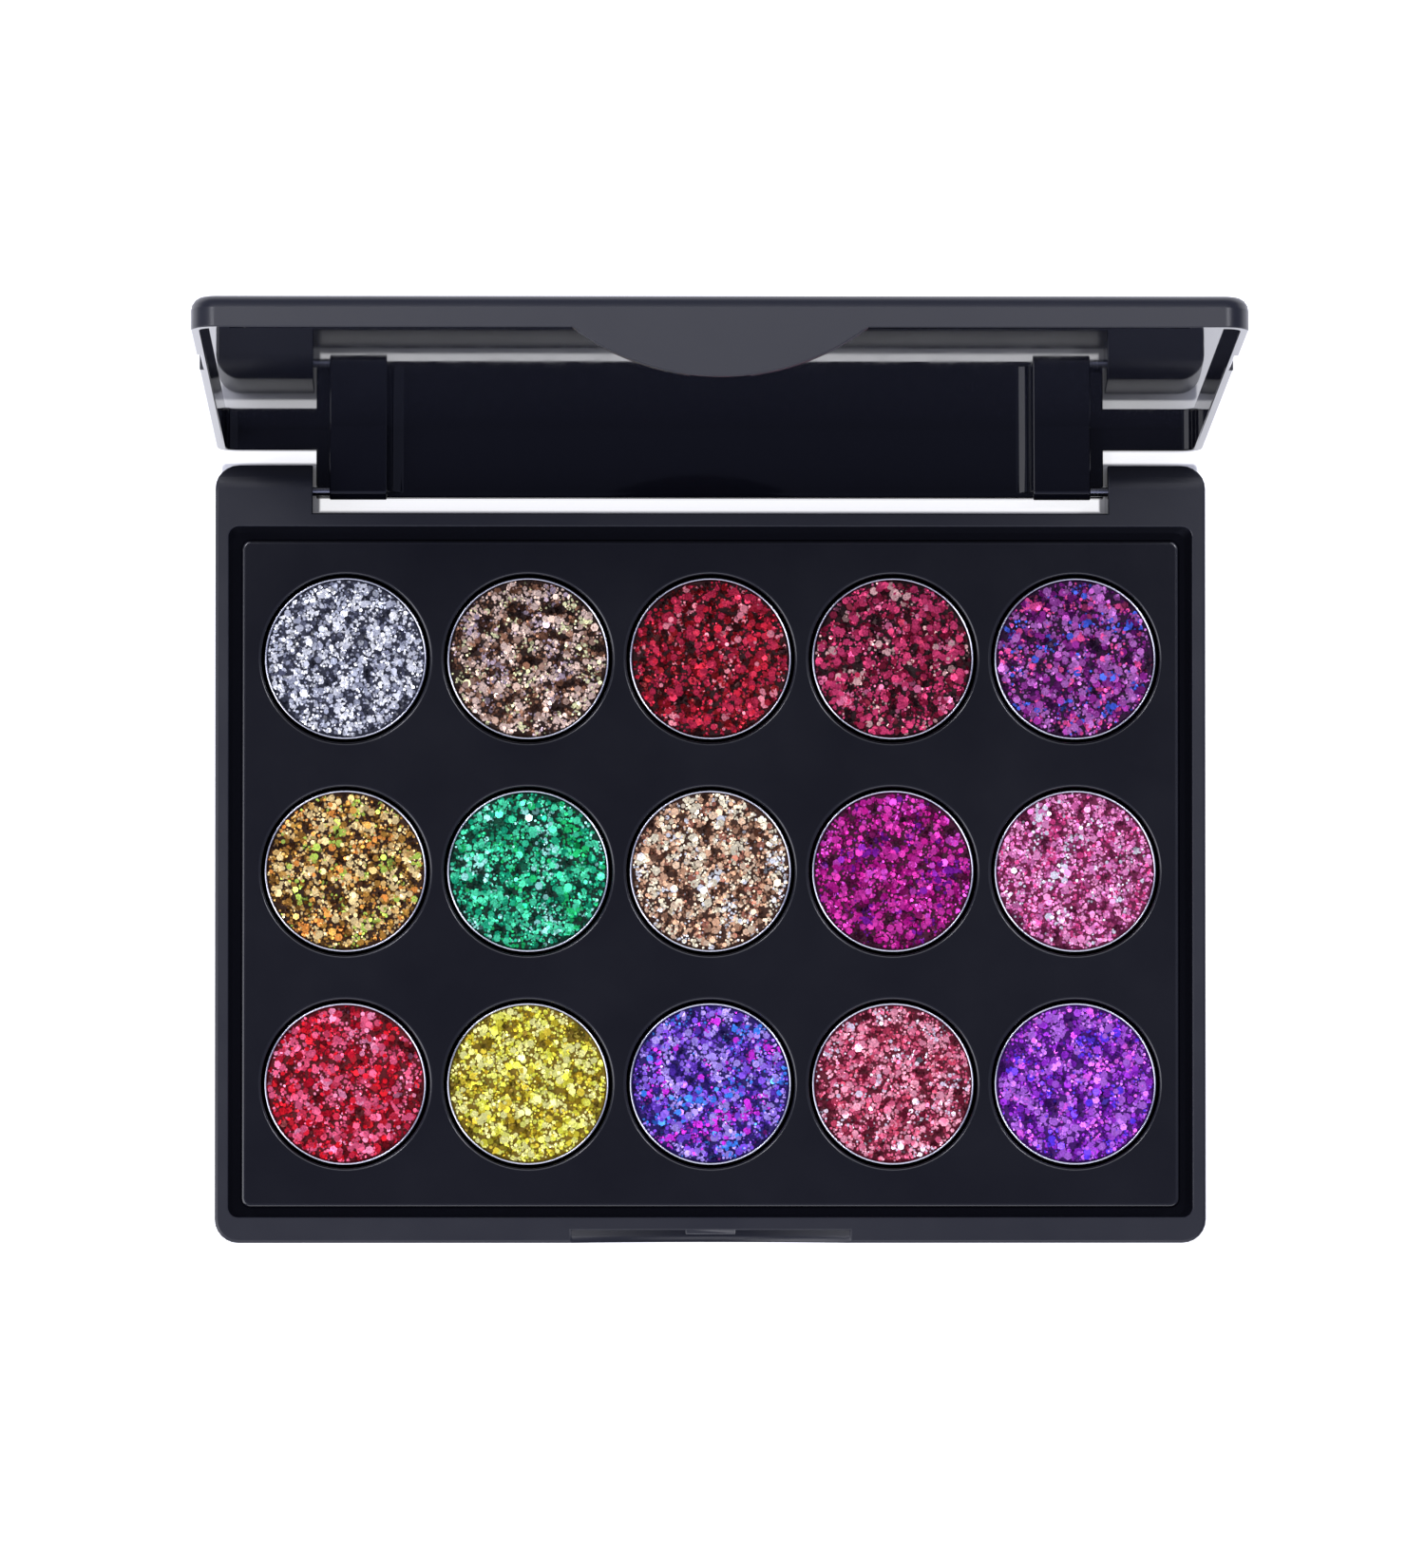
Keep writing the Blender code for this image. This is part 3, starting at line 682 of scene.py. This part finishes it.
class PALETTE_OT_glue(bpy.types.Operator):
    """Flattened dabs of hot-melt glue under the pans and the tray"""

    bl_idname = "palette.glue"
    bl_label = "Glue"

    def execute(self, context):
        wax = hot_melt_glue()
        nodes = [f"pan_glue_{shade}" for shade, *_ in SHADES]
        nodes += sorted(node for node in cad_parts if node.startswith("tray_glue"))
        for node in nodes:
            low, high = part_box(node)
            radius, half = (high.x - low.x) / 2, (high.z - low.z) / 2
            bulge = quarter((radius - half, low.z + half), half, -1, 1, 8)
            centre = ((low.x + high.x) / 2, (low.y + high.y) / 2)
            dab = turned_solid(f"{node}_dab", bulge, centre, 48, [wax])
            keep_flats_flat(dab)
            place(dab, "case", "glue", node)
        return {"FINISHED"}


# Glitter


def hill_field(rng, count, shortest, longest):
    """A smooth random function of x and y: a mean of sine waves in random directions and phases."""
    lengths = rng.uniform(shortest, longest, count)
    headings = rng.uniform(0, 2 * pi, count)
    phases = rng.uniform(0, 2 * pi, count)
    wave = 2 * pi / lengths * np.array((np.cos(headings), np.sin(headings)))

    def height(x, y):
        turn = np.multiply.outer(x, wave[0]) + np.multiply.outer(y, wave[1]) + phases
        return np.sin(turn).mean(-1)

    return height


def bed(centre, radius, foot, top, lift, rings=36, steps=96):
    """Points and faces of the gel bed: a disc whose top follows lift, with a flat foot.

    x = cx + r cos u, y = cy + r sin u, z = top + lift(x, y), for r from the middle to the wall.
    """
    reach = np.linspace(1 / rings, 1, rings) * radius
    face = turned_rings([(r, 0.0) for r in reach], centre, steps)
    face[..., 2] = top + lift(face[..., 0], face[..., 1])
    sole = turned_rings([(radius, foot)], centre, steps)
    middle = np.array([[centre[0], centre[1], top + lift(*centre)]])
    points = np.concatenate((face.reshape(-1, 3), sole.reshape(-1, 3), middle))
    faces = [quad[::-1] for quad in ring_quads(0, rings + 1, steps)]
    around = np.arange(steps)
    hub = np.stack((around, (around + 1) % steps, np.full(steps, len(points) - 1)), -1)
    faces += hub.tolist()
    faces.append(list(range(rings * steps, (rings + 1) * steps))[::-1])
    return points, faces


def flakes(places, widths, lean, heading, spin, thickness):
    """Points and faces of hexagonal plates, 12 points and 8 faces each.

    A plate's corners are w/2 (cos k60, sin k60) turned by spin, with its face leant by lean towards
    heading, and its top and bottom half a thickness to either side.
    """
    count = len(places)
    slope = np.sin(lean)
    normal = np.stack((slope * np.cos(heading), slope * np.sin(heading), np.cos(lean)), -1)
    across = np.stack((-np.sin(spin), np.cos(spin), np.zeros(count)), -1)
    first = np.cross(across, normal)
    first /= np.linalg.norm(first, axis=1, keepdims=True)
    second = np.cross(normal, first)
    a = np.arange(6) * pi / 3
    rim = first[:, None] * np.cos(a)[:, None] + second[:, None] * np.sin(a)[:, None]
    rim = places[:, None] + rim * widths[:, None, None] / 2
    half = normal[:, None] * thickness / 2
    points = np.concatenate((rim + half, rim - half), 1).reshape(-1, 3)
    upper = [0, 1, 2, 3, 4, 5]
    lower = [11, 10, 9, 8, 7, 6]
    sides = [[k, k + 6, (k + 1) % 6 + 6, (k + 1) % 6] for k in range(6)]
    shift = np.arange(count)[:, None] * 12
    faces = (shift + upper).tolist() + (shift + lower).tolist()
    for side in sides:
        faces += (shift + side).tolist()
    return points, faces


def strewn_glitter(name, shade, large, colours, settings, rng, finishes):
    """One pan's glitter: a bumpy gel bed under fine, medium and large flakes.

    The bed's height is a field of hills. Flakes high on the hills and in the patches of light take
    the bright colour, a painted highlight; those low in the hollows are small and, like some near
    the wall, darkened nearly to black, a painted shade. A second, slower field gathers the
    odd-coloured flakes into patches.
    """
    centre, pan_radius, _, rim = pan_middle(shade)
    low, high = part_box(f"glitter_{shade}")
    radius = pan_radius - bpy.context.scene.palette_pan.wall - FILL_GAP
    clumps = hill_field(rng, *CLUMP_WAVES)
    hues = hill_field(rng, *HUE_WAVES)
    lights = hill_field(rng, *LIGHT_WAVES)

    def lift(x, y):
        return settings.clump * (1.8 * clumps(x, y) - 1.5)

    points, faces = bed(centre, radius, low.z, high.z, lift)
    bed_count = len(points)
    bed_faces = len(faces)
    widths = np.concatenate((
        settings.fine_width * rng.uniform(0.7, 1.25, round(settings.fine * (1 - 0.4 * large))),
        settings.medium_width * rng.uniform(0.8, 1.2, settings.medium),
        settings.chunky_width * rng.uniform(0.75, 1.15, round(settings.chunky * large)),
    ))
    count = len(widths)
    reach = (radius - widths / 2) * np.sqrt(rng.random(count))
    around = rng.uniform(0, 2 * pi, count)
    x = centre[0] + reach * np.cos(around)
    y = centre[1] + reach * np.sin(around)
    chunky = widths > settings.medium_width * 1.2
    layer = rng.random(count)
    layer[chunky] = 0.9
    z = high.z + lift(x, y) + settings.clump * (0.2 + 1.1 * layer)
    lean = np.abs(rng.normal(0, settings.tilt, count))
    lean[chunky] *= 0.6
    heading = rng.uniform(0, 2 * pi, count)
    spin = rng.uniform(0, 2 * pi, count)
    # Flakes sunk in a hollow show only a part of themselves
    widths = widths * np.clip(1.05 + 1.3 * (clumps(x, y) + 0.2), 0.45, 1.0)
    places = np.stack((x, y, z), -1)
    plates, plate_faces = flakes(places, widths, lean, heading, spin, settings.thickness)
    points = np.concatenate((points, plates))
    faces += (np.array([face for face in plate_faces if len(face) == 6]) + bed_count).tolist()
    faces += (np.array([face for face in plate_faces if len(face) == 4]) + bed_count).tolist()
    finish = np.zeros(len(faces))
    finish[:bed_faces] = 1
    piece = new_piece(name, points, faces, finishes, finish)
    smooth = np.arange(len(faces)) < bed_faces
    piece.data.polygons.foreach_set("use_smooth", smooth)

    shadow, body, bright, odd_a, odd_b = colours
    # Painted highlight and shade: flakes high on the hills, in the patches of light and in the
    # upper layer get a larger share and so a lighter colour.
    painted_light_level = 4.6 * clumps(x, y) + 2.2 * lights(x, y)
    share = np.clip(0.56 + 0.5 * painted_light_level + rng.normal(0, 0.15, count) + 0.2 * (layer - 0.5), 0, 1)
    share = share[:, None]
    # Painted light: from shadow to body over the first half of the share, and on to bright over the
    # second
    dull = shadow + (body - shadow) * np.clip(share * 2, 0, 1)
    tint = dull + (bright - body) * np.clip(share * 2 - 1, 0, 1)
    odd = rng.random(count)
    hue = 2.5 * hues(x, y)
    patch = 0.03 + 0.45 * np.clip(hue - 0.3, 0, 1)
    other = 0.03 + 0.45 * np.clip(-hue - 0.3, 0, 1)
    tint = np.where((odd < patch)[:, None], odd_a, tint)
    tint = np.where((odd > 1 - other)[:, None], odd_b, tint)
    # Painted shade: flakes low in the hollows, and in the outer sixth where the light field is low,
    # are darkened by up to 0.8.
    edge = np.clip(reach / radius * 6 - 5, 0, 1) * np.clip(-4 * lights(x, y), 0, 1)
    hollow_shade = np.clip(2.8 * (-clumps(x, y) - 0.5 * lights(x, y) - 0.16) + 0.6 * edge, 0, 0.8)
    tint = tint * (1 - hollow_shade[:, None])
    # The gel bed takes the shadow colour at 0.4: painted shade between the flakes.
    whole = np.concatenate((np.tile(shadow * 0.4, (bed_count, 1)), np.repeat(tint, 12, axis=0)))
    whole[:, 3] = 1.0
    layer_of_colour = piece.data.color_attributes.new("tint", "FLOAT_COLOR", "POINT")
    layer_of_colour.data.foreach_set("color", whole.astype(np.float32).ravel())
    return piece


class PALETTE_OT_glitter(bpy.types.Operator):
    """Pressed glitter in every pan: a gel bed strewn with foil flakes"""

    bl_idname = "palette.glitter"
    bl_label = "Glitter"

    def execute(self, context):
        settings = context.scene.palette_glitter
        finishes = (glitter_foil(), binder_gel())
        for number, (shade, *_) in enumerate(SHADES):
            row = context.scene.palette_shades[number]
            picked = (row.shadow, row.body, row.bright, row.odd_a, row.odd_b)
            colours = [np.array(colour) for colour in picked]
            rng = np.random.default_rng(SEED + number)
            name = f"glitter_fill_{shade}"
            fill = strewn_glitter(name, shade, row.large, colours, settings, rng, finishes)
            place(fill, "case", f"glitter_{shade}", f"glitter_{shade}")
        return {"FINISHED"}


# Stage


def distance_to(tree, where, low, high):
    """How far a point of the floor is from the rectangle low to high: |max(|p - m| - h, 0)|."""
    middle = [(low[0] + high[0]) / 2, (low[1] + high[1]) / 2, 0.0]
    half = [(high[0] - low[0]) / 2, (high[1] - low[1]) / 2, 0.0]
    aside = where
    for operation, other in (
        ("SUBTRACT", middle), ("ABSOLUTE", None), ("SUBTRACT", half), ("MAXIMUM", [0.0, 0.0, 0.0]),
    ):
        sockets = {0: aside} if other is None else {0: aside, 1: other}
        step = add_node(tree, "ShaderNodeVectorMath", sockets, operation=operation)
        aside = step.outputs["Vector"]
    return add_node(tree, "ShaderNodeVectorMath", {0: aside}, operation="LENGTH").outputs["Value"]


def lit_acrylic(colour, glow, shadow_rectangles):
    """Matt white acrylic over a light box, with a faint tooth and a painted shadow where the case
    stands.

    The glow falls off over the last millimetre to a tenth on the rectangles that the case stands
    on, a painted contact shadow.
    """
    made, tree, shader, where = new_material("lit_white_acrylic")
    tooth = add_node(tree, "ShaderNodeTexNoise", {"Vector": where, "Scale": 1500.0, "Detail": 2.0})
    bump = add_node(tree, "ShaderNodeBump", {
        "Height": tooth.outputs["Fac"], "Strength": 0.1, "Distance": 0.0001,
    })
    away = 1.0
    for foot in shadow_rectangles:
        nearest = {0: distance_to(tree, where, *foot), 1: away}
        away = add_node(tree, "ShaderNodeMath", nearest, operation="MINIMUM").outputs["Value"]
    # Painted shadow: a tenth of the glow within 0.6 mm of the rectangles, full glow beyond 1.1 mm.
    shadowed_glow = {
        "Value": away, "From Min": 0.0006, "From Max": 0.0011, "To Min": 0.1 * glow, "To Max": glow,
    }
    shadowed_glow = add_node(tree, "ShaderNodeMapRange", shadowed_glow, interpolation_type="SMOOTHSTEP")
    set_shader(
        tree, shader, Base_Color=colour, Roughness=0.6, Normal=bump.outputs["Normal"],
        Emission_Color=colour, Emission_Strength=shadowed_glow.outputs["Result"],
    )
    return made


def room_light(settings):
    """A white tent with a dark oval opening overhead, where the camera looks in.

    The opening is the ellipse (x/a)^2 + ((y - b)/c)^2 < 1 of directions, with a soft edge.
    """
    world = bpy.data.worlds.new("white_tent")
    world.use_nodes = True
    tree = world.node_tree
    where = tree.nodes.new("ShaderNodeTexCoord").outputs["Generated"]
    across, along = sin(settings.across), sin(settings.along)
    ellipse = add_node(tree, "ShaderNodeMapping", {
        "Vector": where, "Location": (0.0, -settings.lean / along, 0.0),
        "Scale": (1 / across, 1 / along, 0.0),
    })
    reach = add_node(
        tree, "ShaderNodeVectorMath", {0: ellipse.outputs["Vector"]}, operation="LENGTH",
    )
    # The soft edge runs from 0.7 to 1.4 of the ellipse
    within = {"Value": reach.outputs["Value"], "From Min": 1.4, "From Max": 0.7}
    opening = add_node(tree, "ShaderNodeMapRange", within, interpolation_type="SMOOTHSTEP")
    strength = add_node(tree, "ShaderNodeMapRange", {
        "Value": opening.outputs["Result"], "To Min": settings.room, "To Max": settings.hole,
    })
    colour = add_node(tree, "ShaderNodeMix", {
        "Factor": opening.outputs["Result"], 6: settings.tent, 7: settings.dusk,
    }, data_type="RGBA")
    background = tree.nodes["Background"]
    tree.links.new(colour.outputs[2], background.inputs["Color"])
    tree.links.new(strength.outputs["Result"], background.inputs["Strength"])
    return world


def softbox(name, place_at, size, power, tint):
    """An area lamp of size (width, height) that points at the origin."""
    lamp = bpy.data.lights.new(name, "AREA")
    lamp.shape = "RECTANGLE"
    lamp.size, lamp.size_y = size
    lamp.energy = power
    lamp.color = tint[:3]
    made = bpy.data.objects.new(name, lamp)
    made.location = place_at
    made.rotation_euler = (-Vector(place_at)).to_track_quat("-Z", "Y").to_euler()
    bpy.context.scene.collection.objects.link(made)


class PALETTE_OT_stage(bpy.types.Operator):
    """Lit white floor, white tent, soft lamps and the camera above the palette"""

    bl_idname = "palette.stage"
    bl_label = "Stage"

    def execute(self, context):
        settings = context.scene.palette_stage
        scene = context.scene
        corners = [(x * FLOOR_REACH, y * FLOOR_REACH, 0) for x, y in SQUARE]
        low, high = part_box("base_shell")
        deep, wide = high.y - settings.notch_depth, settings.notch_width / 2
        left, right, front = low.x + settings.inset, high.x - settings.inset, low.y + settings.inset
        # Rectangles under the case where the floor's glow drops to a tenth: a painted shadow under
        # and round it.
        shadow_rectangles = (
            ((left, front), (right, deep)),
            ((left, front), (-wide, high.y)),
            ((wide, front), (right, high.y)),
        )
        acrylic = lit_acrylic(settings.floor, settings.backlight, shadow_rectangles)
        floor = new_piece("floor", corners, [[0, 1, 2, 3]], [acrylic])

        scene.world = room_light(settings)
        for name, place_at, size, power in LAMPS:
            softbox(name, place_at, size, power, settings.tint)

        lens = bpy.data.cameras.new("camera")
        lens.sensor_fit = "VERTICAL"
        lens.sensor_height = 36.0
        lens.lens = settings.lens
        lens.clip_start = 0.05
        camera = bpy.data.objects.new("camera", lens)
        eye = Vector(EYE)
        back = (eye - Vector(AIM)).normalized()
        right = Vector((0.0, 1.0, 0.0)).cross(back).normalized()
        turn = Matrix((right, back.cross(right), back)).transposed()
        camera.matrix_world = Matrix.Translation(eye) @ turn.to_4x4()
        scene.collection.objects.link(camera)
        scene.camera = camera
        scene.view_settings.view_transform = "Standard"
        return {"FINISHED"}


class PALETTE_PT_panel(bpy.types.Panel):
    """Lists the palette's steps and settings"""

    bl_idname = "PALETTE_PT_panel"
    bl_label = "Palette"
    bl_space_type = "VIEW_3D"
    bl_region_type = "UI"
    bl_category = "Palette"

    def draw(self, context):
        column = self.layout.column()
        for step in STEPS:
            column.operator(step.bl_idname)
        for group in SETTINGS:
            owner = getattr(context.scene, group)
            for key in type(owner).__annotations__:
                column.prop(owner, key)


STEPS = (
    PALETTE_OT_case, PALETTE_OT_pins, PALETTE_OT_tray, PALETTE_OT_pans, PALETTE_OT_glue,
    PALETTE_OT_glitter, PALETTE_OT_stage,
)
SETTINGS = {
    "palette_case": PaletteCaseSettings,
    "palette_tray": PaletteTraySettings,
    "palette_pan": PalettePanSettings,
    "palette_glitter": PaletteGlitterSettings,
    "palette_stage": PaletteStageSettings,
}


def register():
    """Make the settings, steps and panel known to Blender."""
    for made in (*SETTINGS.values(), PaletteShade, *STEPS, PALETTE_PT_panel):
        bpy.utils.register_class(made)
    for name, group in SETTINGS.items():
        setattr(bpy.types.Scene, name, PointerProperty(type=group))
    bpy.types.Scene.palette_shades = CollectionProperty(type=PaletteShade)


def unregister():
    """Undo register."""
    for name in (*SETTINGS, "palette_shades"):
        delattr(bpy.types.Scene, name)
    for made in (PALETTE_PT_panel, *reversed(STEPS), PaletteShade, *reversed(SETTINGS.values())):
        bpy.utils.unregister_class(made)


def main():
    """Build every piece and the stage."""
    register()
    for name, large, *colours in SHADES:
        row = bpy.context.scene.palette_shades.add()
        row.name = name
        row.large = large
        row.shadow, row.body, row.bright, row.odd_a, row.odd_b = (to_linear(c) for c in colours)
    bpy.ops.palette.case()
    bpy.ops.palette.pins()
    bpy.ops.palette.tray()
    bpy.ops.palette.pans()
    bpy.ops.palette.glue()
    bpy.ops.palette.glitter()
    bpy.ops.palette.stage()


if __name__ == "__main__":
    main()
